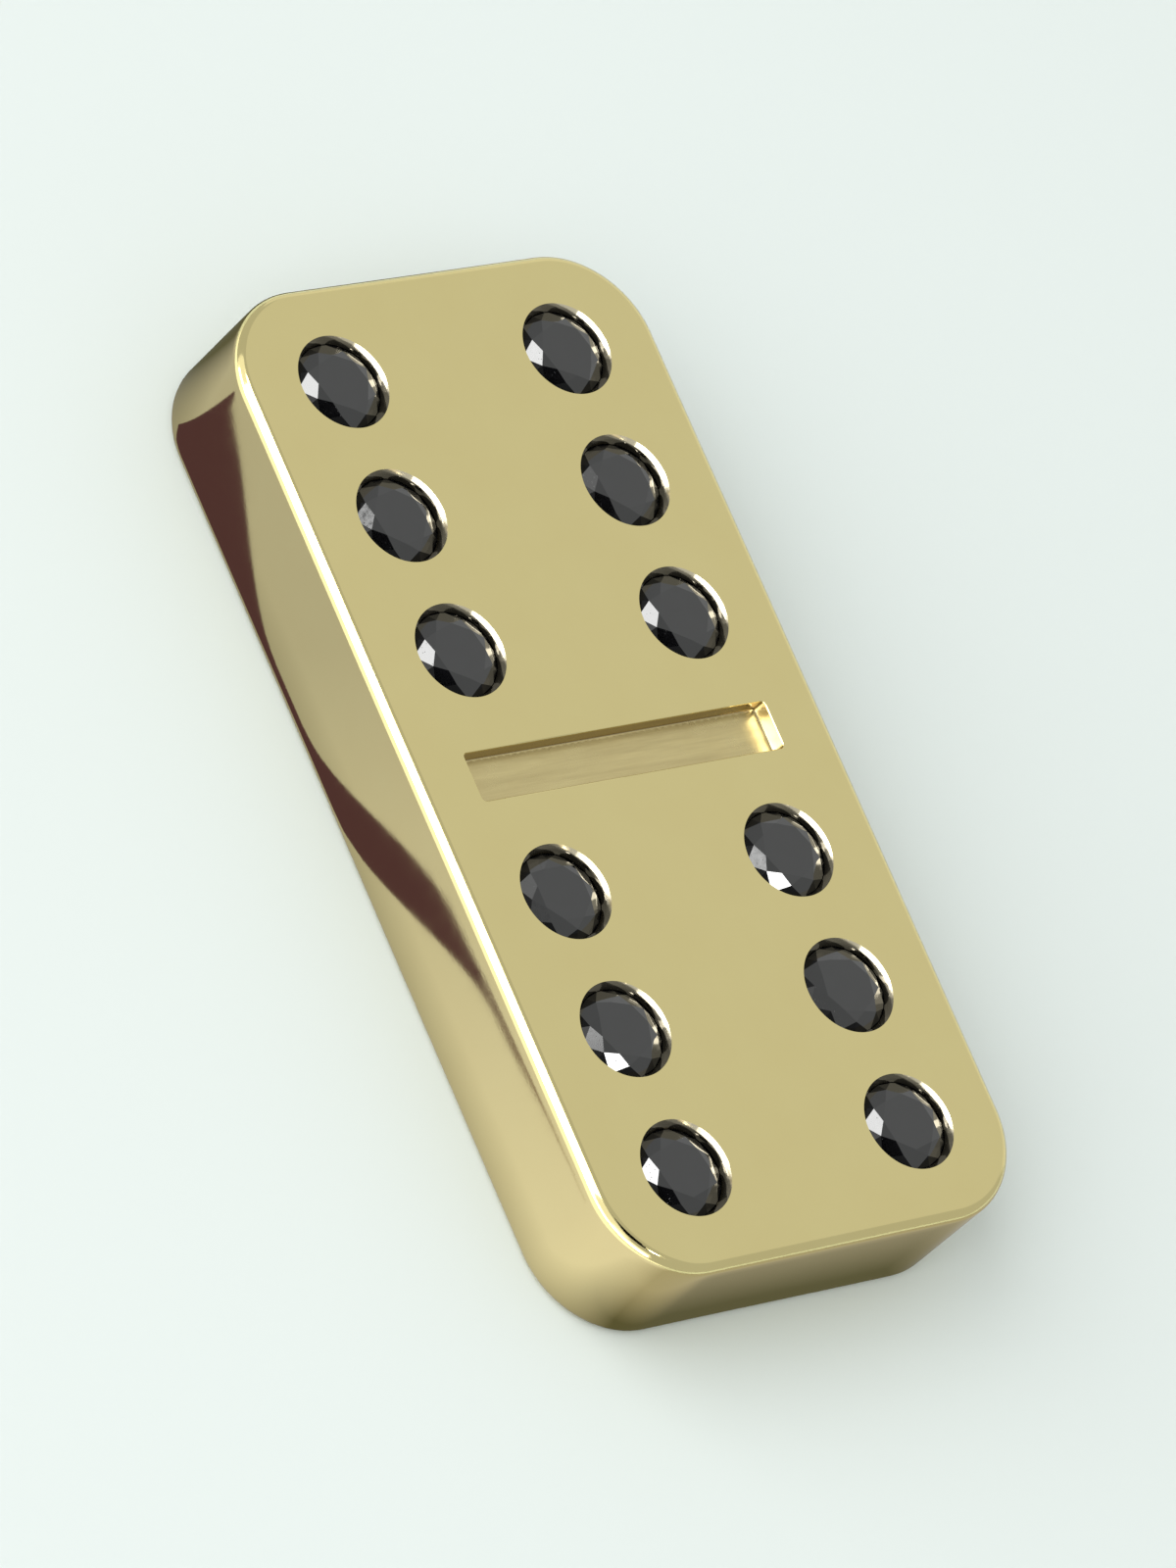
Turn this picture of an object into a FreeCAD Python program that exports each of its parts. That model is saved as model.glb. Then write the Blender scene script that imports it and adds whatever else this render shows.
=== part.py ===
import FreeCAD, Part
import math
import os

# A small domino tile: a one-piece gold body with a bar pocket across the middle of its face,
# and twelve round brilliant-cut black stones, each sunk in its own seat as one pip.
# Millimetres. The tile lies on its back: the pip face looks along +Z, its long side runs
# along Y, and the origin is at the middle of the back.

# --- tile body ---
TILE_LENGTH = 30.0
TILE_WIDTH = 14.4
TILE_THICKNESS = 4.0
CORNER_RADIUS = 2.85
EDGE_ROUND = 0.34

# --- bar pocket between the two halves ---
BAR_LENGTH = 10.6
BAR_WIDTH = 1.45
BAR_DEPTH = 0.5
BAR_CORNER_RADIUS = 0.12

# --- pip layout: a double six ---
COLUMN_SPACING = 7.87
ROW_PITCH = 4.16
INNER_ROW_GAP = 7.37

# --- stones: one size of round brilliant ---
STONE_DIAMETER = 2.7
TABLE_RATIO = 0.62
CROWN_ANGLE = 30.0
PAVILION_ANGLE = 40.75
GIRDLE_RATIO = 0.03
STAR_LENGTH = 0.5
LOWER_HALF_REACH = 0.23
TABLE_SUNK = 0.02
DEEPER_TABLE_SUNK = 0.08
DEEPER_STONES = (
    "upper_left_middle",
    "upper_right_middle",
    "lower_left_inner",
    "lower_left_outer",
)
STONE_TURNS = {
    "upper_left_inner": 38,
    "upper_left_middle": 33,
    "upper_left_outer": 41,
    "upper_right_inner": 36,
    "upper_right_middle": 29,
    "upper_right_outer": 42,
    "lower_left_inner": 22,
    "lower_left_middle": 5.5,
    "lower_left_outer": 37,
    "lower_right_inner": 3,
    "lower_right_middle": 12,
    "lower_right_outer": 34,
}

# --- stone seats, drilled, burred and burnished ---
MOUTH_RADIUS = 1.43
BORE_RADIUS = 1.33
BEVEL_DEPTH = 0.19
LIP_OVERLAP = 0.04
SEAT_CLEARANCE = 0.02
WELL_RADIUS = 0.9
WELL_CLEARANCE = 0.1
DRILL_POINT_ANGLE = 118.0

UP = FreeCAD.Vector(0, 0, 1)
ORIGIN = FreeCAD.Vector(0, 0, 0)
FACETS = 8
TABLE_CORNER = 180.0 / FACETS
GIRDLE_HALF_FACET = TABLE_CORNER / 2

STONE_RADIUS = STONE_DIAMETER / 2
TABLE_RADIUS = TABLE_RATIO * STONE_RADIUS
HALF_GIRDLE = GIRDLE_RATIO * STONE_DIAMETER / 2
PAVILION_DEPTH = STONE_RADIUS * math.tan(math.radians(PAVILION_ANGLE))
CROWN_HEIGHT = (STONE_RADIUS - TABLE_RADIUS) * math.tan(math.radians(CROWN_ANGLE))
TABLE_HEIGHT = HALF_GIRDLE + CROWN_HEIGHT


def rounded_rectangle(length_x, length_y, corner, z):
    """A flat face: a rectangle with round corners, centred on the Z axis."""
    x = length_x / 2
    y = length_y / 2
    bend = corner * (1 - math.sqrt(0.5))
    arcs = []
    for sx, sy in ((1, 1), (-1, 1), (-1, -1), (1, -1)):
        on_long_side = FreeCAD.Vector(sx * x, sy * (y - corner), z)
        halfway = FreeCAD.Vector(sx * (x - bend), sy * (y - bend), z)
        on_short_side = FreeCAD.Vector(sx * (x - corner), sy * y, z)
        turn = [on_long_side, halfway, on_short_side]
        if sx * sy < 0:
            turn.reverse()
        arcs.append(Part.Arc(*turn).toShape())
    outline = []
    for arc, following in zip(arcs, arcs[1:] + arcs[:1]):
        side = Part.makeLine(arc.lastVertex().Point, following.firstVertex().Point)
        outline += [arc, side]
    return Part.Face(Part.Wire(outline))


def facet_pyramid(count, first_angle, apothem, height, tangent, side):
    """A pyramid whose faces are one ring of facets of a stone.

    Each face passes through the given apothem at the given height, and tangent is its slope.
    side is 1 for the crown, where the point is up, and -1 for the pavilion.
    """
    reach = 2 * STONE_DIAMETER
    base_apothem = apothem + reach / tangent
    base_radius = base_apothem / math.cos(math.pi / count)
    base_z = height - side * reach
    peak = FreeCAD.Vector(0, 0, height + side * apothem * tangent)
    ring = []
    for i in range(count):
        angle = math.radians(first_angle + (i + 0.5) * 360.0 / count)
        ring.append(FreeCAD.Vector(base_radius * math.cos(angle), base_radius * math.sin(angle), base_z))
    faces = [Part.Face(Part.makePolygon(ring + ring[:1]))]
    for one, two in zip(ring, ring[1:] + ring[:1]):
        faces.append(Part.Face(Part.makePolygon([one, two, peak, one])))
    solid = Part.Solid(Part.Shell(faces))
    if solid.Volume < 0:
        solid.reverse()
    return solid


def round_brilliant():
    """The stone, with its table up and the middle of its girdle at the origin."""
    half_corner = math.cos(math.radians(TABLE_CORNER))
    quarter_corner = math.cos(math.radians(GIRDLE_HALF_FACET))
    crown = math.tan(math.radians(CROWN_ANGLE))
    pavilion = math.tan(math.radians(PAVILION_ANGLE))

    # the star facets end where two bezel facets and two upper girdle facets meet
    table_apothem = TABLE_RADIUS * half_corner
    star_end = table_apothem + STAR_LENGTH * (STONE_RADIUS - table_apothem)
    star_end_height = HALF_GIRDLE + (STONE_RADIUS - star_end * half_corner) * crown
    star = (TABLE_HEIGHT - star_end_height) / (star_end - table_apothem)
    girdle_run = (STONE_RADIUS - star_end) * quarter_corner
    upper_girdle = (star_end_height - HALF_GIRDLE) / girdle_run

    # the lower girdle facets run down to a point on the edge between two pavilion mains
    lower_end = LOWER_HALF_REACH * STONE_RADIUS
    lower_end_drop = (STONE_RADIUS - lower_end * half_corner) * pavilion
    lower_girdle = lower_end_drop / ((STONE_RADIUS - lower_end) * quarter_corner)

    girdle_apothem = STONE_RADIUS * quarter_corner
    rings = (
        (FACETS, 0.0, STONE_RADIUS, HALF_GIRDLE, crown, 1),
        (FACETS, TABLE_CORNER, table_apothem, TABLE_HEIGHT, star, 1),
        (2 * FACETS, GIRDLE_HALF_FACET, girdle_apothem, HALF_GIRDLE, upper_girdle, 1),
        (FACETS, 0.0, STONE_RADIUS, -HALF_GIRDLE, pavilion, -1),
        (2 * FACETS, GIRDLE_HALF_FACET, girdle_apothem, -HALF_GIRDLE, lower_girdle, -1),
    )
    below = HALF_GIRDLE + PAVILION_DEPTH
    foot = FreeCAD.Vector(0, 0, -below)
    stone = Part.makeCylinder(STONE_RADIUS, below + TABLE_HEIGHT, foot, UP)
    for ring in rings:
        stone = stone.common(facet_pyramid(*ring))
    return stone.Solids[0]


def seat_cutter(table_sunk):
    """What the drill and burs remove for one stone, with the pip face at z = 0.

    From the top down: a steep bright bevel, a wall that closes in to the lip burnished over
    the girdle, the groove that holds the girdle, the bearing under the pavilion, and a
    drilled well that the point of the stone hangs in.
    """
    girdle = -table_sunk - TABLE_HEIGHT
    crown = math.tan(math.radians(CROWN_ANGLE))
    pavilion = math.tan(math.radians(PAVILION_ANGLE))
    groove_radius = STONE_RADIUS + SEAT_CLEARANCE
    groove_top = girdle + HALF_GIRDLE + SEAT_CLEARANCE / 2
    lip_radius = STONE_RADIUS - LIP_OVERLAP
    lip_height = groove_top + (groove_radius - lip_radius) * crown
    bearing_top = girdle - HALF_GIRDLE
    bearing_foot = bearing_top - (groove_radius - WELL_RADIUS) * pavilion
    well_tip = bearing_top - PAVILION_DEPTH - WELL_CLEARANCE
    well_shoulder = well_tip + WELL_RADIUS / math.tan(math.radians(DRILL_POINT_ANGLE / 2))
    profile = (
        (0, BEVEL_DEPTH),
        (2 * MOUTH_RADIUS - BORE_RADIUS, BEVEL_DEPTH),
        (MOUTH_RADIUS, 0),
        (BORE_RADIUS, -BEVEL_DEPTH),
        (lip_radius, lip_height),
        (groove_radius, groove_top),
        (groove_radius, bearing_top),
        (WELL_RADIUS, bearing_foot),
        (WELL_RADIUS, well_shoulder),
        (0, well_tip),
        (0, BEVEL_DEPTH),
    )
    outline = Part.makePolygon([FreeCAD.Vector(r, 0, z) for r, z in profile])
    return Part.Face(outline).revolve(ORIGIN, UP, 360)


def pips():
    """The name and place of each pip, seen on the face with +Y up."""
    for half, half_sign in (("upper", 1), ("lower", -1)):
        for side, side_sign in (("left", -1), ("right", 1)):
            for row, place in enumerate(("inner", "middle", "outer")):
                x = side_sign * COLUMN_SPACING / 2
                y = half_sign * (INNER_ROW_GAP / 2 + row * ROW_PITCH)
                yield "_".join((half, side, place)), x, y


def sunk(name):
    """How far the stone's table lies below the pip face: the stones aren't all set alike."""
    return DEEPER_TABLE_SUNK if name in DEEPER_STONES else TABLE_SUNK


def tile_body():
    """The gold body: a rounded slab with the bar pocket and twelve stone seats."""
    outline = rounded_rectangle(TILE_WIDTH, TILE_LENGTH, CORNER_RADIUS, 0)
    slab = outline.extrude(UP * TILE_THICKNESS)
    rims = [e for e in slab.Edges if abs(e.BoundBox.ZMax - e.BoundBox.ZMin) < EDGE_ROUND]
    body = slab.makeFillet(EDGE_ROUND, rims)

    bar_floor = TILE_THICKNESS - BAR_DEPTH
    bar = rounded_rectangle(BAR_LENGTH, BAR_WIDTH, BAR_CORNER_RADIUS, bar_floor)
    body = body.cut(bar.extrude(UP * 2 * BAR_DEPTH))

    for name, x, y in pips():
        cutter = seat_cutter(sunk(name))
        cutter.translate(FreeCAD.Vector(x, y, TILE_THICKNESS))
        body = body.cut(cutter)
    return body.Solids[0]


def set_stone(cut_stone, name, x, y):
    """One stone in its seat, turned to its own angle as a setter leaves it."""
    stone = cut_stone.copy()
    stone.rotate(ORIGIN, UP, STONE_TURNS[name])
    stone.translate(FreeCAD.Vector(x, y, TILE_THICKNESS - sunk(name) - TABLE_HEIGHT))
    return stone


os.makedirs("parts", exist_ok=True)
tile_body().exportStep("parts/tile_body.step")
one_stone = round_brilliant()
for pip in pips():
    set_stone(one_stone, *pip).exportStep("parts/stone_" + pip[0] + ".step")
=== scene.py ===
import math

import bmesh
import bpy
from mathutils import Matrix, Quaternion, Vector, noise
from mathutils.geometry import delaunay_2d_cdt


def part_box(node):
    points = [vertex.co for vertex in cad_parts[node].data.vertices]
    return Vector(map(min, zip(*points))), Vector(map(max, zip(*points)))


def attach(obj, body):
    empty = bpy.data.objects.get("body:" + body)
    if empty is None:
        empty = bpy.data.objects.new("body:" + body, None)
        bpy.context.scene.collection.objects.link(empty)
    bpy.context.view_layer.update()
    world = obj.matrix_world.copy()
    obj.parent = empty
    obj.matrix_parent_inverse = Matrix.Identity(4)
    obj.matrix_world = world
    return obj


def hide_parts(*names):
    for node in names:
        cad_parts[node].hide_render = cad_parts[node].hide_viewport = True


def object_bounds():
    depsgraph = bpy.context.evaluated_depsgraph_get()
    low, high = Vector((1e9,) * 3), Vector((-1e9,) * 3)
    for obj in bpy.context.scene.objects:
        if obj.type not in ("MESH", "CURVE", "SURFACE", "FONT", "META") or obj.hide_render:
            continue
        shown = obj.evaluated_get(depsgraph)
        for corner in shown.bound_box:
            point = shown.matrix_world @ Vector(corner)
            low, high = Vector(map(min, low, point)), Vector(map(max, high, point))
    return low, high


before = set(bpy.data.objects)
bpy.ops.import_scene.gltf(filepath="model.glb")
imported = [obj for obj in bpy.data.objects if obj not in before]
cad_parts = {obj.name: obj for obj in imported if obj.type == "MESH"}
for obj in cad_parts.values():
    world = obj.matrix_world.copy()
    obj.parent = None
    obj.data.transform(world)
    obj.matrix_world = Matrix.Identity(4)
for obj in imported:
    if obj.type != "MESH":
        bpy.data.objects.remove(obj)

# A small gold domino tile with twelve faceted black stones for pips.
# Lengths are in metres, angles in degrees unless a name says otherwise.

MM = 0.001
CAD_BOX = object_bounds()

# --- what the frame gives ---
BODY_LOW, BODY_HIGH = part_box("tile_body")
HALF_WIDTH = BODY_HIGH.x
HALF_LENGTH = BODY_HIGH.y
THICKNESS = BODY_HIGH.z

# --- tile body, beyond its box ---
CORNER_RADIUS = 2.85 * MM
EDGE_ROUND = 0.34 * MM
BAR_HALF_LENGTH = 5.3 * MM
BAR_HALF_WIDTH = 0.725 * MM
BAR_DEPTH = 0.5 * MM
BAR_CORNER_RADIUS = 0.12 * MM
BAR_RIM_ROUND = 0.05 * MM
BAR_FOOT = 0.6 * BAR_RIM_ROUND
POLISH_SUPPORT = 0.05 * MM

# --- how finely the body is divided: steps round an outline's corner, across it and along it ---
SLAB_STEPS = (28, 24, 60)
BAR_STEPS = (6, 40, 8)
ROUND_STEPS = 10
SIDE_STEPS = 12
FACE_SPACING = 0.4 * MM
FACE_MARGIN = 0.12 * MM
BACK_SPACING = 1.2 * MM
BACK_MARGIN = 0.3 * MM
FLOOR_SPACING_ALONG = 0.25 * MM
FLOOR_SPACING_ACROSS = 0.06 * MM
SHARP_ANGLE = 32

# --- how far hand polishing leaves the surfaces from flat ---
FACE_WAVE = 0.0025 * MM
FACE_WAVE_LENGTH = 5.0 * MM
SIDE_WAVE = 0.03 * MM
SIDE_WAVE_LENGTH = 7.0 * MM
BAR_TOOL_LINES = 0.005 * MM
GOLD_GRAIN = 0.0006 * MM
STONE_PITS = 0.0012 * MM

# --- stones ---
STONE_RADIUS = 1.35 * MM
TABLE_RADIUS = 0.62 * STONE_RADIUS
HALF_GIRDLE = 0.0405 * MM
CROWN_SLOPE = math.tan(math.radians(30.0))
PAVILION_SLOPE = math.tan(math.radians(40.75))
CROWN_TOP = HALF_GIRDLE + (STONE_RADIUS - TABLE_RADIUS) * CROWN_SLOPE
STAR_LENGTH = 0.5
LOWER_HALF_REACH = 0.23
FACETS = 8
GIRDLE_STEPS = 6
STONE_TURNS = {
    "stone_upper_left_inner": 38,
    "stone_upper_left_middle": 33,
    "stone_upper_left_outer": 41,
    "stone_upper_right_inner": 36,
    "stone_upper_right_middle": 29,
    "stone_upper_right_outer": 42,
    "stone_lower_left_inner": 22,
    "stone_lower_left_middle": 5.5,
    "stone_lower_left_outer": 37,
    "stone_lower_right_inner": 3,
    "stone_lower_right_middle": 12,
    "stone_lower_right_outer": 34,
}

# --- stone seats ---
MOUTH_RADIUS = 1.43 * MM
BORE_RADIUS = 1.33 * MM
BEVEL_DEPTH = 0.19 * MM
LIP_RADIUS = 1.31 * MM
GROOVE_RADIUS = 1.37 * MM
WELL_RADIUS = 0.90 * MM
WELL_CLEARANCE = 0.1 * MM
WELL_POINT_SLOPE = 1 / math.tan(math.radians(59.0))
BURNISH_DEPTH = 0.006 * MM
SEAT_CLEARANCE = 0.01 * MM
SEAT_STEPS = 96
BEVEL_STEPS = 3
WALL_STEPS = 2

# --- camera: where the photographer stood, seen from the tile ---
CAMERA_AZIMUTH = -65.8
CAMERA_ELEVATION = 46.9
CAMERA_ROLL = 48.2
CAMERA_DISTANCE = 314.0 * MM
CAMERA_LENS = 265.0

# --- colours ---
DEEP_GOLD = (0.785, 0.668, 0.315)
PALE_GOLD = (0.815, 0.712, 0.345)
CUTTER_STREAK = (0.5, 0.46, 0.44)
BLACK_STONE = (0.001, 0.001, 0.001)
CLOUDY_STONE = (0.005, 0.005, 0.006)
PALE_FLOOR = (0.78, 0.84, 0.82)
SURROUNDINGS = (0.568, 0.58, 0.568)
FAR_FLOOR = (0.455, 0.50, 0.48)
WHITE = (1.0, 1.0, 1.0)
BLACK = (0.0, 0.0, 0.0)

# --- refraction of the stones: the edge facets mirror less, which paints shade as a dark ring ---
STONE_REFRACTION = 1.89
STONE_EDGE_REFRACTION = 1.25

# --- stage ---
FLOOR_REACH = 8.0
CARD_LIFT = 0.01 * MM
GLARE_REACH = 0.25
GLARE_HALF_LENGTH = 0.2
LAMP_COLOUR = (1.0, 1.0, 0.99)


# ---------------------------------------------------------------- materials

def new_material(name):
    """An empty node material with a Principled shader, and short cuts to build it."""
    material = bpy.data.materials.new(name)
    material.use_nodes = True
    return material, material.node_tree.nodes, material.node_tree.links


def millimetre_space(nodes, links, stretch=(1, 1, 1)):
    """Object coordinates in millimetres, for textures of a known size."""
    place = nodes.new("ShaderNodeTexCoord")
    scale = nodes.new("ShaderNodeMapping")
    scale.inputs["Scale"].default_value = [s / MM for s in stretch]
    links.new(place.outputs["Object"], scale.inputs["Vector"])
    return scale.outputs["Vector"]


def noise_field(nodes, links, space, per_mm, detail=3.0, roughness=0.55):
    """Smooth random values from 0 to 1, with about per_mm features in a millimetre."""
    field = nodes.new("ShaderNodeTexNoise")
    field.inputs["Scale"].default_value = per_mm
    field.inputs["Detail"].default_value = detail
    field.inputs["Roughness"].default_value = roughness
    links.new(space, field.inputs["Vector"])
    return field.outputs["Fac"]


def remap(nodes, links, value, low, high, source_low=0.3, source_high=0.7):
    """A value stretched from one range to another, and held inside it."""
    span = nodes.new("ShaderNodeMapRange")
    span.inputs["From Min"].default_value = source_low
    span.inputs["From Max"].default_value = source_high
    span.inputs["To Min"].default_value = low
    span.inputs["To Max"].default_value = high
    links.new(value, span.inputs["Value"])
    return span.outputs["Result"]


def colour_mix(nodes, links, factor, first, second):
    """A colour between two, by a factor from 0 to 1."""
    mix = nodes.new("ShaderNodeMix")
    mix.data_type = "RGBA"
    mix.inputs["A"].default_value = (*first, 1)
    mix.inputs["B"].default_value = (*second, 1)
    links.new(factor, mix.inputs["Factor"])
    return mix.outputs["Result"]


def bump(nodes, links, height, depth, under=None):
    """Fine relief of a given depth, laid over the relief under it."""
    relief = nodes.new("ShaderNodeBump")
    relief.inputs["Strength"].default_value = 1.0
    relief.inputs["Distance"].default_value = depth
    links.new(height, relief.inputs["Height"])
    if under is not None:
        links.new(under, relief.inputs["Normal"])
    return relief.outputs["Normal"]


def gold(name, base_roughness, line_depth, tint=WHITE, streaks=0.0):
    """Yellow gold: faint clouding, polishing haze and hairlines along the tile.

    tint is for what the polishing cloth treats differently, and for painted light: the paler,
    bluer tint on the bright-cut walls is a painted highlight, and the darker tint on the bar's
    side walls is painted shade. streaks are what a cutter leaves along the bar.
    """
    material, nodes, links = new_material(name)
    shader = nodes["Principled BSDF"]
    shader.inputs["Metallic"].default_value = 1.0
    even = millimetre_space(nodes, links)
    along = millimetre_space(nodes, links, stretch=(1.0, 0.06, 1.0))
    across = millimetre_space(nodes, links, stretch=(0.1, 1.6, 1.0))

    cloud = noise_field(nodes, links, even, 0.45, detail=4.0)
    deep = [c * t for c, t in zip(DEEP_GOLD, tint)]
    pale = [c * t for c, t in zip(PALE_GOLD, tint)]
    tone = colour_mix(nodes, links, cloud, deep, pale)
    if streaks:
        stroke = noise_field(nodes, links, across, 2.2, detail=4.0, roughness=0.7)
        cut = remap(nodes, links, stroke, 0.0, streaks)
        dark = colour_mix(nodes, links, cut, WHITE, CUTTER_STREAK)
        blend = nodes.new("ShaderNodeMix")
        blend.data_type = "RGBA"
        blend.blend_type = "MULTIPLY"
        blend.inputs["Factor"].default_value = 1.0
        links.new(tone, blend.inputs["A"])
        links.new(dark, blend.inputs["B"])
        tone = blend.outputs["Result"]
    links.new(tone, shader.inputs["Base Color"])

    haze = noise_field(nodes, links, even, 1.6, detail=5.0)
    rough = remap(nodes, links, haze, base_roughness * 0.8, base_roughness * 1.25)
    links.new(rough, shader.inputs["Roughness"])

    grain = noise_field(nodes, links, even, 14.0, detail=2.0)
    hairlines = noise_field(nodes, links, along, 30.0, detail=2.0)
    normal = bump(nodes, links, grain, GOLD_GRAIN)
    normal = bump(nodes, links, hairlines, line_depth, under=normal)
    links.new(normal, shader.inputs["Normal"])
    return material


def black_stone(name, refraction):
    """Opaque black gem: mirror facets with fine pits and slightly cloudy patches."""
    material, nodes, links = new_material(name)
    shader = nodes["Principled BSDF"]
    shader.inputs["IOR"].default_value = refraction
    space = millimetre_space(nodes, links)
    cloud = noise_field(nodes, links, space, 2.2, detail=5.0)
    tone = colour_mix(nodes, links, cloud, BLACK_STONE, CLOUDY_STONE)
    links.new(tone, shader.inputs["Base Color"])
    wear = noise_field(nodes, links, space, 7.0, detail=4.0)
    rough = remap(nodes, links, wear, 0.03, 0.10)
    links.new(rough, shader.inputs["Roughness"])
    pits = nodes.new("ShaderNodeTexVoronoi")
    pits.inputs["Scale"].default_value = 9.0
    links.new(space, pits.inputs["Vector"])
    pit = remap(nodes, links, pits.outputs["Distance"], 0.0, 1.0, 0.02, 0.12)
    normal = bump(nodes, links, pit, STONE_PITS)
    links.new(normal, shader.inputs["Normal"])
    return material


def pale_surface():
    """Matt pale paper for the floor, very slightly clouded."""
    material, nodes, links = new_material("pale_floor")
    shader = nodes["Principled BSDF"]
    shader.inputs["Roughness"].default_value = 0.85
    shader.inputs["Specular IOR Level"].default_value = 0.0
    space = millimetre_space(nodes, links)
    cloud = noise_field(nodes, links, space, 0.02, detail=3.0)
    darker = tuple(c * 0.985 for c in PALE_FLOOR)
    tone = colour_mix(nodes, links, cloud, darker, PALE_FLOOR)
    links.new(tone, shader.inputs["Base Color"])
    return material


# ---------------------------------------------------------------- mesh building

class Shell:
    """The points and faces of one mesh, gathered ring by ring."""

    def __init__(self):
        self.points = []
        self.faces = []
        self.slots = []

    def ring(self, points):
        """Adds points and returns their numbers."""
        first = len(self.points)
        self.points.extend(points)
        return list(range(first, len(self.points)))

    def face(self, corners, slot=0):
        self.faces.append(corners)
        self.slots.append(slot)

    def bridge(self, ring, following, slot=0):
        """Quads between two rings of the same length. slot is one slot, or one for each quad."""
        for i in range(len(ring)):
            j = (i + 1) % len(ring)
            own = slot[i] if isinstance(slot, list) else slot
            self.face((ring[i], ring[j], following[j], following[i]), own)

    def sheet(self, loops, fresh, keep, slot=0):
        """Triangles inside the first loop and outside the others, through fresh points."""
        border = [i for loop in loops for i in loop]
        flat = [Vector((self.points[i][0], self.points[i][1])) / MM for i in border]
        flat += [Vector((p[0], p[1])) / MM for p in fresh]
        edges = []
        start = 0
        for loop in loops:
            count = len(loop)
            edges += [(start + i, start + (i + 1) % count) for i in range(count)]
            start += count
        numbers = border + self.ring(fresh)
        verts, _, faces, origins, _, _ = delaunay_2d_cdt(flat, edges, [], 1, 1e-7)
        for corners in faces:
            middle = sum((verts[c] for c in corners), Vector((0, 0))) * MM / len(corners)
            if keep(middle.x, middle.y):
                self.face([numbers[origins[c][0]] for c in corners], slot)

    def build(self, name, materials, sharp_angle=None):
        """The mesh as an object: flat facets, or smooth up to the sharp angle."""
        mesh = bpy.data.meshes.new(name)
        mesh.from_pydata([tuple(p) for p in self.points], [], self.faces)
        mesh.validate()
        for material in materials:
            mesh.materials.append(material)
        mesh.polygons.foreach_set("material_index", self.slots)
        smooth = sharp_angle is not None
        mesh.polygons.foreach_set("use_smooth", [smooth] * len(mesh.polygons))
        if smooth:
            mesh.set_sharp_from_angle(angle=math.radians(sharp_angle))
        piece = bpy.data.objects.new(name, mesh)
        bpy.context.scene.collection.objects.link(piece)
        return piece


def rounded_outline(half_x, half_y, corner, arc_steps, x_steps, y_steps):
    """Points and outward directions round a rectangle with round corners, anticlockwise."""
    outline = []
    inner_x = half_x - corner
    inner_y = half_y - corner
    sides = (
        (inner_x, inner_y, 0, (-2 * inner_x, 0), x_steps),
        (-inner_x, inner_y, 90, (0, -2 * inner_y), y_steps),
        (-inner_x, -inner_y, 180, (2 * inner_x, 0), x_steps),
        (inner_x, -inner_y, 270, (0, 2 * inner_y), y_steps),
    )
    for centre_x, centre_y, start, run, steps in sides:
        for i in range(arc_steps + 1):
            angle = math.radians(start + 90 * i / arc_steps)
            out = Vector((math.cos(angle), math.sin(angle)))
            outline.append((Vector((centre_x, centre_y)) + out * corner, out))
        corner_end, out = outline[-1]
        for i in range(1, steps):
            outline.append((corner_end + Vector(run) * (i / steps), out))
    return outline


# ---------------------------------------------------------------- tile body

def face_height(x, y):
    """The pip face: flat but for the last trace of hand polishing."""
    wave = noise.noise(Vector((x, y, 0)) / FACE_WAVE_LENGTH)
    return THICKNESS - FACE_WAVE * (0.5 + 0.5 * wave)


def side_wave(x, y, z):
    """How far polishing has drawn a side in at this point."""
    place = Vector((x, y, 1.7 * z)) / SIDE_WAVE_LENGTH
    return SIDE_WAVE * (0.5 + 0.5 * noise.noise(place))


def grid(half_x, half_y, step_x, step_y, height, keep):
    """Points over a rectangle, every other row shifted by half a step."""
    points = []
    rows = round(2 * half_y / step_y)
    columns = round(2 * half_x / step_x)
    for j in range(rows + 1):
        y = -half_y + 2 * half_y * j / rows
        shift = 0.5 * (j % 2)
        for i in range(columns + 1):
            x = -half_x + 2 * half_x * (i + shift) / columns
            if keep(x, y):
                points.append((x, y, height(x, y)))
    return points


def inside_rounded(x, y, half_x, half_y, corner):
    over_x = max(abs(x) - (half_x - corner), 0)
    over_y = max(abs(y) - (half_y - corner), 0)
    return math.hypot(over_x, over_y) < corner


def pip_places():
    """For each stone node: the centre of its seat and the height of its table."""
    places = {}
    for name in STONE_TURNS:
        low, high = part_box(name)
        places[name] = ((low.x + high.x) / 2, (low.y + high.y) / 2, high.z)
    return places


def burnish(angle, number, amount):
    """The uneven edge that the setter's burnisher leaves round a stone."""
    place = Vector((1.7 * math.cos(angle), 1.7 * math.sin(angle), 3.1 * number))
    slow = noise.noise(place)
    fast = noise.noise(place * 4.0)
    return amount * (0.65 * slow + 0.35 * fast)


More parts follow.
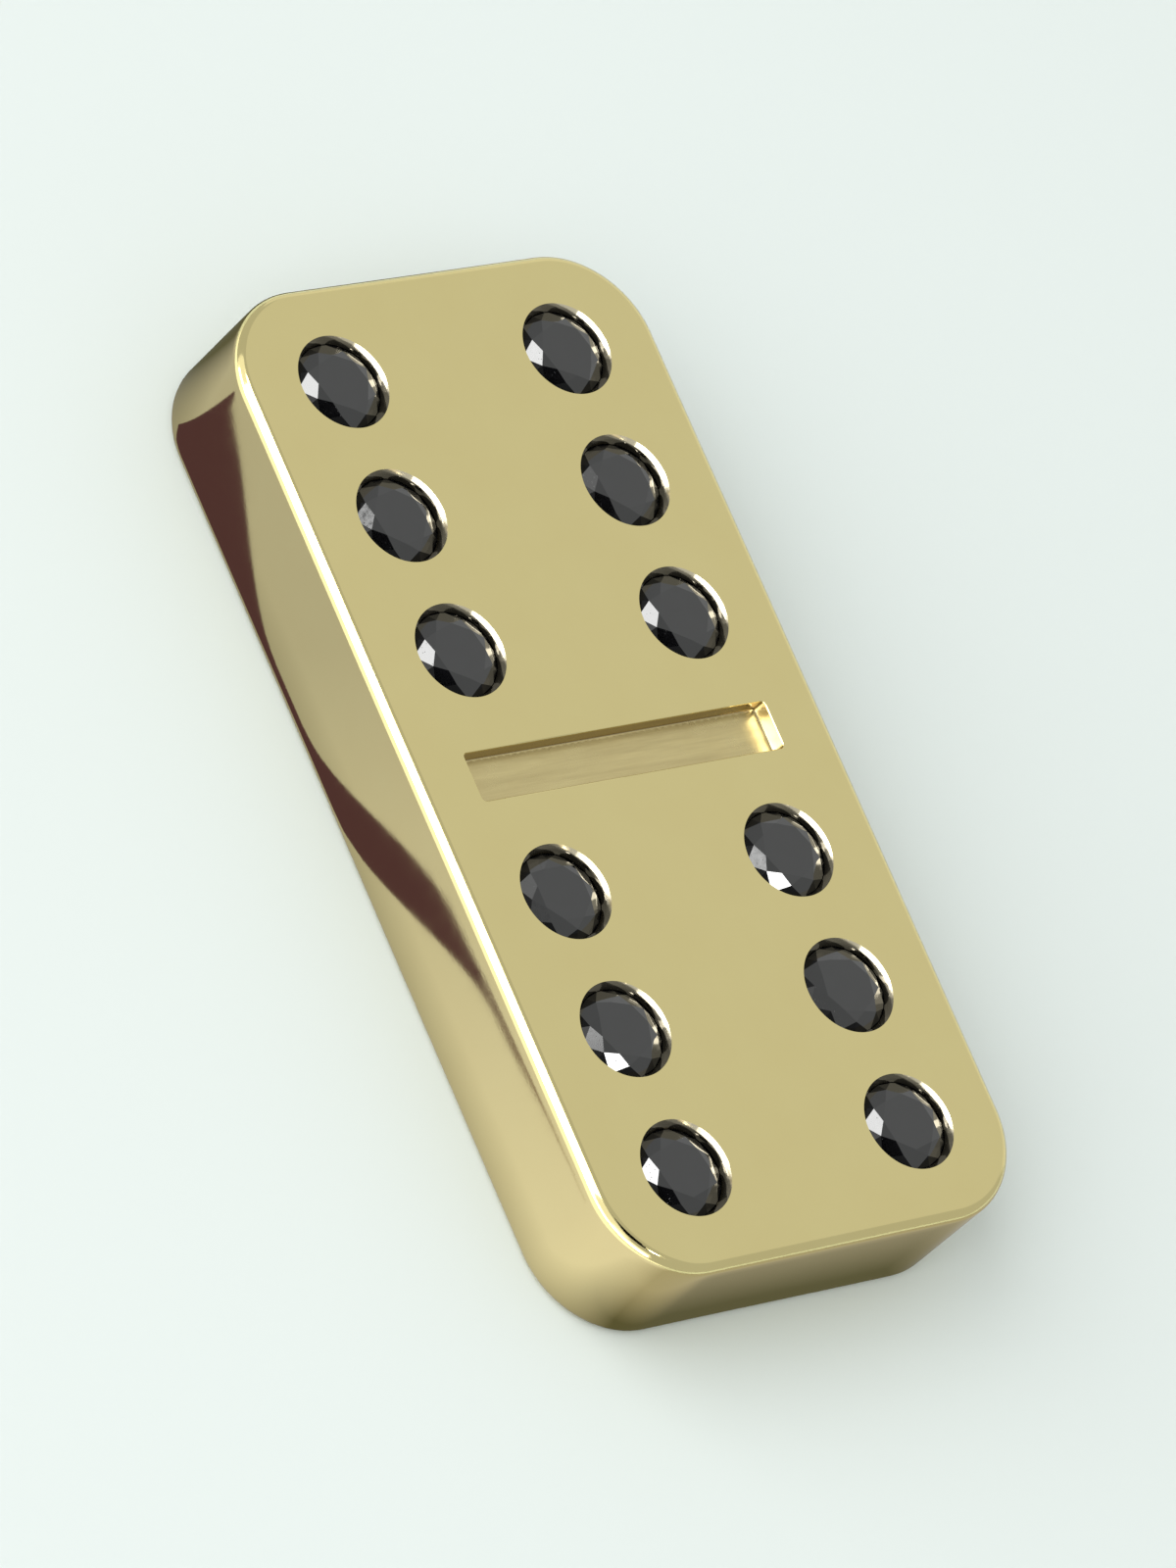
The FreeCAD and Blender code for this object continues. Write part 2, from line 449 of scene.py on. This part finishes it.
def seat(shell, number, centre_x, centre_y, table_z, bright_slot):
    """One stone seat, from the pip face down to the drilled well. Returns its first ring."""
    girdle_z = table_z - CROWN_TOP
    groove_top = girdle_z + HALF_GIRDLE + SEAT_CLEARANCE
    lip_z = groove_top + (GROOVE_RADIUS - LIP_RADIUS) * CROWN_SLOPE
    bearing_top = girdle_z - HALF_GIRDLE
    bearing_foot = bearing_top - (GROOVE_RADIUS - WELL_RADIUS) * PAVILION_SLOPE
    well_tip = bearing_top - STONE_RADIUS * PAVILION_SLOPE - WELL_CLEARANCE
    well_shoulder = well_tip + WELL_RADIUS * WELL_POINT_SLOPE
    wall_top = THICKNESS - BEVEL_DEPTH
    profile = [
        (MOUTH_RADIUS + POLISH_SUPPORT, None, 0.0),
        (MOUTH_RADIUS, None, 0.0),
    ]
    for step in range(1, BEVEL_STEPS + 1):
        share = step / BEVEL_STEPS
        radius = MOUTH_RADIUS + (BORE_RADIUS - MOUTH_RADIUS) * share
        profile.append((radius, THICKNESS - BEVEL_DEPTH * share, share))
    for step in range(1, WALL_STEPS + 1):
        share = step / WALL_STEPS
        radius = BORE_RADIUS + (LIP_RADIUS - BORE_RADIUS) * share
        profile.append((radius, wall_top + (lip_z - wall_top) * share, 1 - 0.5 * share))
    profile += [
        (GROOVE_RADIUS, groove_top, 0.0),
        (GROOVE_RADIUS, bearing_top, 0.0),
        (WELL_RADIUS, bearing_foot, 0.0),
        (WELL_RADIUS, well_shoulder, 0.0),
    ]
    rings = []
    for radius, z, uneven in profile:
        points = []
        for i in range(SEAT_STEPS):
            angle = 2 * math.pi * i / SEAT_STEPS
            reach = radius + burnish(angle, number, BURNISH_DEPTH * uneven)
            x = centre_x + reach * math.cos(angle)
            y = centre_y + reach * math.sin(angle)
            points.append((x, y, face_height(x, y) if z is None else z))
        rings.append(shell.ring(points))
    shell.bridge(rings[0], rings[1])
    # bevel, wall, groove and well take the bright-cut gold, whose paler tint is a painted
    # highlight
    for ring, following in zip(rings[1:], rings[2:]):
        shell.bridge(ring, following, bright_slot)
    tip = shell.ring([(centre_x, centre_y, well_tip)])[0]
    last = rings[-1]
    for i in range(SEAT_STEPS):
        shell.face((last[i], last[(i + 1) % SEAT_STEPS], tip), bright_slot)
    return rings[0]


def bar_pocket(shell, floor_slot, wall_slot, end_slot):
    """The bar between the halves: crisp walls and a floor with lengthwise tool lines."""
    outline = rounded_outline(BAR_HALF_LENGTH, BAR_HALF_WIDTH, BAR_CORNER_RADIUS, *BAR_STEPS)
    floor_z = THICKNESS - BAR_DEPTH

    def loop(offset, z):
        points = []
        for place, out in outline:
            x, y = place + out * offset
            points.append((x, y, face_height(x, y) if z is None else z))
        return shell.ring(points)

    rings = [loop(BAR_RIM_ROUND + POLISH_SUPPORT, None), loop(BAR_RIM_ROUND, None)]
    for degrees in (30, 60, 90):
        turn = math.radians(degrees)
        offset = BAR_RIM_ROUND * (1 - math.sin(turn))
        rings.append(loop(offset, THICKNESS - BAR_RIM_ROUND * (1 - math.cos(turn))))
    rim = len(rings) - 1
    rings.append(loop(0, floor_z + BAR_FOOT))
    rings.append(loop(-0.3 * BAR_FOOT, floor_z + 0.3 * BAR_FOOT))
    rings.append(loop(-BAR_FOOT, floor_z))
    # end walls take the bright-cut gold with its painted highlight, side walls the darker gold
    # with painted shade
    walls = [end_slot if abs(out.x) > 0.8 else wall_slot for _, out in outline]
    for ring, following in zip(rings[:rim], rings[1:]):
        shell.bridge(ring, following)
    for ring, following in zip(rings[rim:], rings[rim + 1:]):
        shell.bridge(ring, following, walls)

    def tool_lines(x, y):
        place = Vector((0.12 * x, 7.0 * y, 0)) / MM
        return floor_z + BAR_TOOL_LINES * noise.noise(place)

    half_x = BAR_HALF_LENGTH - 2 * BAR_FOOT
    half_y = BAR_HALF_WIDTH - 2 * BAR_FOOT
    fresh = grid(half_x, half_y, FLOOR_SPACING_ALONG, FLOOR_SPACING_ACROSS,
                 tool_lines, lambda x, y: abs(x) < half_x)
    shell.sheet([rings[-1]], fresh, lambda x, y: True, floor_slot)
    return rings[0]


def tile_body():
    """The gold body, one closed mesh: rounded slab, bar pocket and twelve stone seats."""
    polished, bright, milled, shaded_wall = 0, 1, 2, 3
    shell = Shell()
    outline = rounded_outline(HALF_WIDTH, HALF_LENGTH, CORNER_RADIUS, *SLAB_STEPS)

    def loop(inset, z):
        points = []
        for place, out in outline:
            drawn_in = side_wave(place.x, place.y, z)
            x, y = place - out * (inset + drawn_in)
            points.append((x, y, z))
        return shell.ring(points)

    heights = [(EDGE_ROUND + POLISH_SUPPORT, THICKNESS)]
    for step in range(ROUND_STEPS + 1):
        turn = math.radians(90 * step / ROUND_STEPS)
        inset = EDGE_ROUND * (1 - math.sin(turn))
        heights.append((inset, THICKNESS - EDGE_ROUND * (1 - math.cos(turn))))
    for step in range(1, SIDE_STEPS):
        share = step / SIDE_STEPS
        heights.append((0, THICKNESS - EDGE_ROUND - share * (THICKNESS - 2 * EDGE_ROUND)))
    for step in range(ROUND_STEPS + 1):
        turn = math.radians(90 * step / ROUND_STEPS)
        inset = EDGE_ROUND * (1 - math.cos(turn))
        heights.append((inset, EDGE_ROUND * (1 - math.sin(turn))))
    heights.append((EDGE_ROUND + POLISH_SUPPORT, 0))
    rings = [loop(inset, z) for inset, z in heights]
    for ring, following in zip(rings, rings[1:]):
        shell.bridge(ring, following, polished)
    for number in rings[0] + rings[1]:
        x, y, _ = shell.points[number]
        shell.points[number] = (x, y, face_height(x, y))

    places = list(pip_places().values())
    loops = [rings[0]]
    for number, (x, y, table_z) in enumerate(places):
        loops.append(seat(shell, number, x, y, table_z, bright))
    loops.append(bar_pocket(shell, milled, shaded_wall, bright))

    hole = MOUTH_RADIUS + POLISH_SUPPORT
    bar_edge = BAR_RIM_ROUND + POLISH_SUPPORT

    def on_face(x, y, margin=0.0):
        if any(math.hypot(x - px, y - py) < hole + margin for px, py, _ in places):
            return False
        reach = bar_edge + margin
        return not inside_rounded(x, y, BAR_HALF_LENGTH + reach, BAR_HALF_WIDTH + reach,
                                  BAR_CORNER_RADIUS + reach)

    def well_inside(x, y):
        rim = EDGE_ROUND + POLISH_SUPPORT + SIDE_WAVE + FACE_MARGIN
        on_slab = inside_rounded(x, y, HALF_WIDTH - rim, HALF_LENGTH - rim, CORNER_RADIUS - rim)
        return on_slab and on_face(x, y, FACE_MARGIN)

    spread = grid(HALF_WIDTH, HALF_LENGTH, FACE_SPACING, FACE_SPACING, face_height, well_inside)
    shell.sheet(loops, spread, on_face, polished)

    def back_inside(x, y):
        rim = EDGE_ROUND + POLISH_SUPPORT + SIDE_WAVE + BACK_MARGIN
        return inside_rounded(x, y, HALF_WIDTH - rim, HALF_LENGTH - rim, CORNER_RADIUS - rim)

    back = grid(HALF_WIDTH, HALF_LENGTH, BACK_SPACING, BACK_SPACING,
                lambda x, y: 0.0, back_inside)
    shell.sheet([rings[-1]], back, lambda x, y: True, polished)

    materials = [
        gold("gold_polished", 0.09, 0.0003 * MM),
        # bright-cut seat and bar end walls, tinted paler and bluer: a painted highlight, so
        # mirrored lights read white
        gold("gold_bright_cut_painted_highlight", 0.10, 0.0002 * MM, tint=(1.0, 1.04, 1.6)),
        gold("gold_milled", 0.30, 0.0010 * MM, tint=(0.97, 0.95, 1.0), streaks=0.4),
        # the bar's side walls, tinted darker: painted shade in the recess
        gold("gold_wall_painted_shade", 0.16, 0.0003 * MM, tint=(0.50, 0.46, 0.52)),
    ]
    piece = shell.build("gold_tile_body", materials, sharp_angle=SHARP_ANGLE)
    turn_outward(piece.data)
    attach(piece, "root")
    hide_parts("tile_body")


def turn_outward(mesh):
    """Makes every face of a closed mesh look out of the solid."""
    shape = bmesh.new()
    shape.from_mesh(mesh)
    bmesh.ops.recalc_face_normals(shape, faces=shape.faces)
    shape.to_mesh(mesh)
    shape.free()


# ---------------------------------------------------------------- stones

def stone(name, centre_x, centre_y, table_z, turn, materials):
    """One round brilliant: table, 8 bezels, 8 stars, 16 upper girdles, girdle, pavilion."""
    step = 2 * math.pi / FACETS
    corner = math.cos(step / 2)
    quarter = math.cos(step / 4)
    girdle_z = table_z - CROWN_TOP
    shell = Shell()

    table_apothem = TABLE_RADIUS * corner
    star_end = table_apothem + STAR_LENGTH * (STONE_RADIUS - table_apothem)
    star_end_z = HALF_GIRDLE + (STONE_RADIUS - star_end * corner) * CROWN_SLOPE
    upper_slope = (star_end_z - HALF_GIRDLE) / ((STONE_RADIUS - star_end) * quarter)
    lower_end = LOWER_HALF_REACH * STONE_RADIUS
    lower_end_z = -HALF_GIRDLE - (STONE_RADIUS - lower_end * corner) * PAVILION_SLOPE
    lower_slope = (-HALF_GIRDLE - lower_end_z) / ((STONE_RADIUS - lower_end) * quarter)

    def spot(radius, angle, z):
        x = centre_x + radius * math.cos(angle + turn)
        y = centre_y + radius * math.sin(angle + turn)
        return (x, y, girdle_z + z)

    def girdle_edge(i, side, slope):
        """Where the girdle cylinder meets a girdle facet: the edge dips at its middle."""
        angle = i * step / 2 / GIRDLE_STEPS
        off_middle = (i % GIRDLE_STEPS) / GIRDLE_STEPS - 0.5
        sag = STONE_RADIUS * (math.cos(off_middle * step / 2) - quarter) * slope
        return spot(STONE_RADIUS, angle, side * (HALF_GIRDLE - sag))

    around = 2 * FACETS * GIRDLE_STEPS
    table = shell.ring([spot(TABLE_RADIUS, i * step, CROWN_TOP) for i in range(FACETS)])
    stars = shell.ring([spot(star_end, (i + 0.5) * step, star_end_z) for i in range(FACETS)])
    upper = shell.ring([girdle_edge(i, 1, upper_slope) for i in range(around)])
    lower = shell.ring([girdle_edge(i, -1, lower_slope) for i in range(around)])
    ends = shell.ring([spot(lower_end, (i + 0.5) * step, lower_end_z) for i in range(FACETS)])
    culet = shell.ring([spot(0, 0, -HALF_GIRDLE - STONE_RADIUS * PAVILION_SLOPE)])[0]

    shell.face(table)
    shell.bridge(lower, upper)
    for i in range(FACETS):
        before = (i - 1) % FACETS
        first = 2 * i * GIRDLE_STEPS
        shell.face((table[i], stars[i], table[(i + 1) % FACETS]))
        shell.face((table[i], stars[before], upper[first], stars[i]))
        shell.face((culet, ends[i], lower[first], ends[before]))
        for start in (first, first + GIRDLE_STEPS):
            arc = [(start + k) % around for k in range(GIRDLE_STEPS + 1)]
            shell.face([stars[i]] + [upper[k] for k in arc], 1)
            shell.face([ends[i]] + [lower[k] for k in reversed(arc)])
    piece = shell.build("black_" + name, materials)
    turn_outward(piece.data)
    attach(piece, "root")
    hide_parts(name)


def stones():
    """All twelve stones. The first material is for every facet but the upper girdle's. The
    second mirrors less, so the upper girdle facets show as a dark ring: painted shade round each
    stone.
    """
    materials = [
        black_stone("black_stone_polished", STONE_REFRACTION),
        black_stone("black_stone_edge_painted_shade", STONE_EDGE_REFRACTION),
    ]
    for name, (x, y, table_z) in pip_places().items():
        stone(name, x, y, table_z, math.radians(STONE_TURNS[name]), materials)


# ---------------------------------------------------------------- stage

def direction(azimuth, elevation):
    """From the tile towards a point at that compass angle (0 is +X, 90 is +Y) and height."""
    a = math.radians(azimuth)
    e = math.radians(elevation)
    return Vector((math.cos(a) * math.cos(e), math.sin(a) * math.cos(e), math.sin(e)))


def light_panel(name, towards, turn, distance, width, height, radiance):
    """A flat light that faces the tile. radiance is how bright it looks."""
    light = bpy.data.lights.new(name, "AREA")
    light.shape = "RECTANGLE"
    light.size = width
    light.size_y = height
    light.energy = radiance * math.pi * width * height
    light.color = LAMP_COLOUR
    lamp = bpy.data.objects.new(name, light)
    lamp.location = Vector((0, 0, THICKNESS)) + towards * distance
    lamp.rotation_euler = turn.to_euler()
    lamp.visible_camera = False
    bpy.context.scene.collection.objects.link(lamp)
    return lamp


def softbox(name, azimuth, elevation, distance, width, height, radiance):
    """A light panel with a level lower edge, which the polished surfaces mirror."""
    towards = direction(azimuth, elevation)
    turn = towards.to_track_quat("Z", "Y")
    lamp = light_panel(name, towards, turn, distance, width, height, radiance)
    no_glow_on_the_floor(lamp.data)
    return lamp


def floor_light(name, azimuth, elevation, distance, width, height, radiance):
    """A light panel for the matt floor and its shadows, which no polished surface mirrors."""
    towards = direction(azimuth, elevation)
    turn = towards.to_track_quat("Z", "Y")
    lamp = light_panel(name, towards, turn, distance, width, height, radiance)
    lamp.visible_glossy = False


def strip_light(name, start, end, distance, width, radiance):
    """A narrow panel between two directions, which only the polished surfaces mirror."""
    first = direction(*start)
    last = direction(*end)
    towards = (first + last).normalized()
    run = (last / last.dot(towards) - first / first.dot(towards)) * distance
    along = run.normalized()
    turn = Matrix((along.cross(towards), along, towards)).transposed()
    lamp = light_panel(name, towards, turn, distance, width, run.length, radiance)
    no_glow_on_the_floor(lamp.data)
    only_in_reflections(lamp)


def no_glow_on_the_floor(light):
    """The polished metal mirrors the light, but throws no bright patch of it on the floor."""
    light.use_nodes = True
    nodes = light.node_tree.nodes
    links = light.node_tree.links
    path = nodes.new("ShaderNodeLightPath")
    first_hand = nodes.new("ShaderNodeMath")
    first_hand.operation = "LESS_THAN"
    first_hand.inputs[1].default_value = 0.5
    links.new(path.outputs["Diffuse Depth"], first_hand.inputs[0])
    links.new(first_hand.outputs[0], nodes["Emission"].inputs["Strength"])


def only_in_reflections(item):
    """For lights and cards that are there to be mirrored in the polished metal."""
    item.visible_camera = False
    item.visible_diffuse = False
    item.visible_shadow = False
    item.visible_transmission = False
    item.visible_volume_scatter = False


def card(name, corners, glow=BLACK):
    """A flat card that only the reflections show. It takes no light from the lamps: it glows
    with a set tone, or is black, so what the metal mirrors of it is a painted reflection.
    """
    mesh = bpy.data.meshes.new(name)
    mesh.from_pydata([tuple(c) for c in corners], [], [tuple(range(len(corners)))])
    material, nodes, links = new_material(name)
    shader = nodes["Principled BSDF"]
    shader.inputs["Base Color"].default_value = (0, 0, 0, 1)
    shader.inputs["Specular IOR Level"].default_value = 0.0
    shader.inputs["Emission Color"].default_value = (*glow, 1)
    shader.inputs["Emission Strength"].default_value = 1.0
    mesh.materials.append(material)
    piece = bpy.data.objects.new(name, mesh)
    bpy.context.scene.collection.objects.link(piece)
    only_in_reflections(piece)
    return piece


def standing_card(name, azimuth, elevation, distance, width, height):
    """A black card that faces the tile from one side. Only the reflections show it: a painted
    dark reflection in the polished metal and the stones' facets.
    """
    towards = direction(azimuth, elevation)
    middle = Vector((0, 0, THICKNESS)) + towards * distance
    turn = towards.to_track_quat("Z", "Y")
    corners = []
    for x, y in ((-1, -1), (1, -1), (1, 1), (-1, 1)):
        corners.append(middle + turn @ Vector((x * width / 2, y * height / 2, 0)))
    card(name, corners)


def floor():
    """A level pale floor, wide enough to fill a low view."""
    mesh = bpy.data.meshes.new("floor")
    reach = FLOOR_REACH
    corners = [(-reach, -reach, 0), (reach, -reach, 0), (reach, reach, 0), (-reach, reach, 0)]
    mesh.from_pydata(corners, [], [(0, 1, 2, 3)])
    mesh.materials.append(pale_surface())
    plane = bpy.data.objects.new("floor", mesh)
    bpy.context.scene.collection.objects.link(plane)


def towards_camera():
    """From the tile to the camera, one unit long."""
    azimuth = math.radians(CAMERA_AZIMUTH)
    elevation = math.radians(CAMERA_ELEVATION)
    return Vector((math.sin(azimuth) * math.cos(elevation),
                   -math.cos(azimuth) * math.cos(elevation),
                   math.sin(elevation)))


def ease(value, start, end):
    """Goes smoothly from 0 to 1 between start and end."""
    share = min(max((value - start) / (end - start), 0.0), 1.0)
    return share * share * (3 - 2 * share)


def card_axes(piece):
    """A card's material, with its places across and along the tile as values to shade by."""
    material = piece.data.materials[0]
    nodes = material.node_tree.nodes
    links = material.node_tree.links
    place = nodes.new("ShaderNodeTexCoord")
    axes = nodes.new("ShaderNodeSeparateXYZ")
    links.new(place.outputs["Object"], axes.inputs["Vector"])
    return nodes, links, axes.outputs["X"], axes.outputs["Y"]


def red_card():
    """A dark red card on the floor, mirrored in the left side as a drawn-out wedge. It glows
    with a set tone and is laid out from the camera's direction: a painted reflection.

    Each row is set by how high up the side it is seen: high and low are its two edges.
    A thin tail runs on from the wedge's point, beside the rounded edge, and lightens.
    """
    view = towards_camera()
    run_x = view.x / view.z
    run_y = -view.y / view.z
    top = []
    bottom = []
    steps = 60
    upper_end = 13.4
    length = 26.0
    for i in range(steps + 1):
        y = (upper_end - length * i / steps) * MM
        fall = 1 - ease(-y, -13.6 * MM, -5.4 * MM)
        rise = ease(-y, -3.9 * MM, 3.6 * MM)
        high = (0.42 + 2.7 * fall + 2.62 * rise + 0.53 * ease(-y, 3.6 * MM, 12.0 * MM)) * MM
        low = (0.12 + 2.78 * ease(-y, -1.6 * MM, 6.8 * MM)
               + 0.6 * ease(-y, 6.6 * MM, 12.6 * MM)) * MM
        low = min(low, high - 0.02 * MM)
        for row, height in ((top, high), (bottom, low)):
            row.append((-HALF_WIDTH + run_x * height, y + run_y * height, 2 * CARD_LIFT))
    piece = card("red_card", top + bottom[::-1])
    nodes, links, _, along = card_axes(piece)
    thinning = remap(nodes, links, along, 1.0, 0.0, -11.1 * MM, -4.2 * MM)
    # painted reflection tones: dark red for the wedge, lighter for the tail
    dark_red = (0.094, 0.046, 0.075)
    light_tail = (0.50, 0.44, 0.40)
    tone = colour_mix(nodes, links, thinning, dark_red, light_tail)
    links.new(tone, nodes["Principled BSDF"].inputs["Emission Color"])


def floor_card(name, low_x, high_x, low_y, high_y, glow=BLACK):
    """A card that lies on the floor."""
    corners = [(low_x, low_y, CARD_LIFT), (high_x, low_y, CARD_LIFT),
               (high_x, high_y, CARD_LIFT), (low_x, high_y, CARD_LIFT)]
    return card(name, corners, glow)


def shade_side_card(piece):
    """Paints light and shade into the card's glow: dimmer towards the upper end, and a painted
    shadow right before the lower end.
    """
    dim_side, bright_side = (0.54, 0.55, 0.60), (0.92, 0.92, 0.98)
    shaded_end, lit_end = (0.12, 0.12, 0.08), (0.48, 0.46, 0.42)
    nodes, links, across, along = card_axes(piece)
    towards_end = remap(nodes, links, along, 1.0, 0.0, -14.0 * MM, 6.0 * MM)
    beside = colour_mix(nodes, links, towards_end, dim_side, bright_side)
    away = remap(nodes, links, along, 1.0, 0.0, -HALF_LENGTH - 1.9 * MM, -HALF_LENGTH - 0.3 * MM)
    past_corner = remap(nodes, links, across, 0.0, 1.0, 4.5 * MM, 9.0 * MM)
    lit = nodes.new("ShaderNodeMath")
    lit.operation = "MAXIMUM"
    links.new(away, lit.inputs[0])
    links.new(past_corner, lit.inputs[1])
    before_end = colour_mix(nodes, links, lit.outputs[0], shaded_end, lit_end)
    by_the_end = remap(nodes, links, across, 0.0, 1.0, -8.4 * MM, -5.4 * MM)
    tone = nodes.new("ShaderNodeMix")
    tone.data_type = "RGBA"
    links.new(by_the_end, tone.inputs["Factor"])
    links.new(beside, tone.inputs["A"])
    links.new(before_end, tone.inputs["B"])
    links.new(tone.outputs["Result"], nodes["Principled BSDF"].inputs["Emission Color"])


def lights():
    """The studio lights, and the cards that the polished metal and stones mirror."""
    # azimuth, elevation, distance, width, height, radiance
    floor_light("key_light", 165, 34, 0.54, 0.92, 0.72, 2.2)
    softbox("left_softbox", 165, 34, 0.60, 1.02, 0.80, 0.6)
    softbox("far_softbox", 27, 46, 0.50, 0.52, 0.42, 0.14)
    only_in_reflections(softbox("low_reflector", 224, 22, 0.56, 0.42, 0.36, 0.8))
    only_in_reflections(softbox("far_low_reflector", 32, 13, 0.56, 0.80, 0.24, 0.25))
    # from one azimuth and elevation to another, distance, width, radiance
    strip_light("edge_strip", (139, 67), (163, 3), 0.58, 0.15, 4.5)
    strip_light("left_low_strip", (134, 11), (196, 14), 0.57, 0.18, 4.0)
    strip_light("front_low_strip", (197, 15), (244, 16), 0.57, 0.18, 4.0)
    strip_light("left_glint", (117, 58), (135, 60), 0.56, 0.11, 7.0)
    strip_light("front_glint", (271.5, 60.0), (272.3, 64.9), 0.26, 0.03, 16.0)
    # azimuth, elevation, distance, width, height
    standing_card("photographer", 238, 69.5, 0.28, 0.105, 0.105)
    edge = -HALF_WIDTH - 5.0 * MM
    # side_card: a glowing card mirrored in the sides as a pale surface, with painted light and a
    # painted shadow
    side_card = floor_card("side_card", edge, HALF_WIDTH + 12.0 * MM,
                           -HALF_LENGTH - 12.0 * MM, HALF_LENGTH + 8.0 * MM)
    shade_side_card(side_card)
    # glare_card: a brightly glowing card, no lamp, that paints a highlight along the lower part
    # of the rounded edge
    floor_card("glare_card", edge - GLARE_REACH, edge, -GLARE_HALF_LENGTH, GLARE_HALF_LENGTH,
               glow=(1.5, 1.5, 1.5))
    red_card()
    surroundings()


def surroundings():
    """Even pale light from all round. The camera sees it in the far floor's own tone."""
    world = bpy.data.worlds.new("studio")
    world.use_nodes = True
    nodes = world.node_tree.nodes
    links = world.node_tree.links
    path = nodes.new("ShaderNodeLightPath")
    tone = colour_mix(nodes, links, path.outputs["Is Camera Ray"], SURROUNDINGS, FAR_FLOOR)
    links.new(tone, nodes["Background"].inputs["Color"])
    bpy.context.scene.world = world


def camera():
    """The camera at the photographer's place, turned about its line of sight."""
    lens = bpy.data.cameras.new("camera")
    lens.lens = CAMERA_LENS
    lens.sensor_width = 36.0
    lens.clip_start = 0.01
    lens.clip_end = 10.0
    eye = bpy.data.objects.new("camera", lens)
    low, high = CAD_BOX
    aim = (low + high) / 2
    back = towards_camera()
    level = back.to_track_quat("Z", "Y")
    roll = Quaternion((0, 0, 1), math.radians(CAMERA_ROLL))
    eye.rotation_mode = "QUATERNION"
    eye.rotation_quaternion = level @ roll
    eye.location = aim + back * CAMERA_DISTANCE
    bpy.context.scene.collection.objects.link(eye)
    bpy.context.scene.camera = eye


bpy.context.scene.view_settings.view_transform = "Standard"
camera()
floor()
lights()
tile_body()
stones()
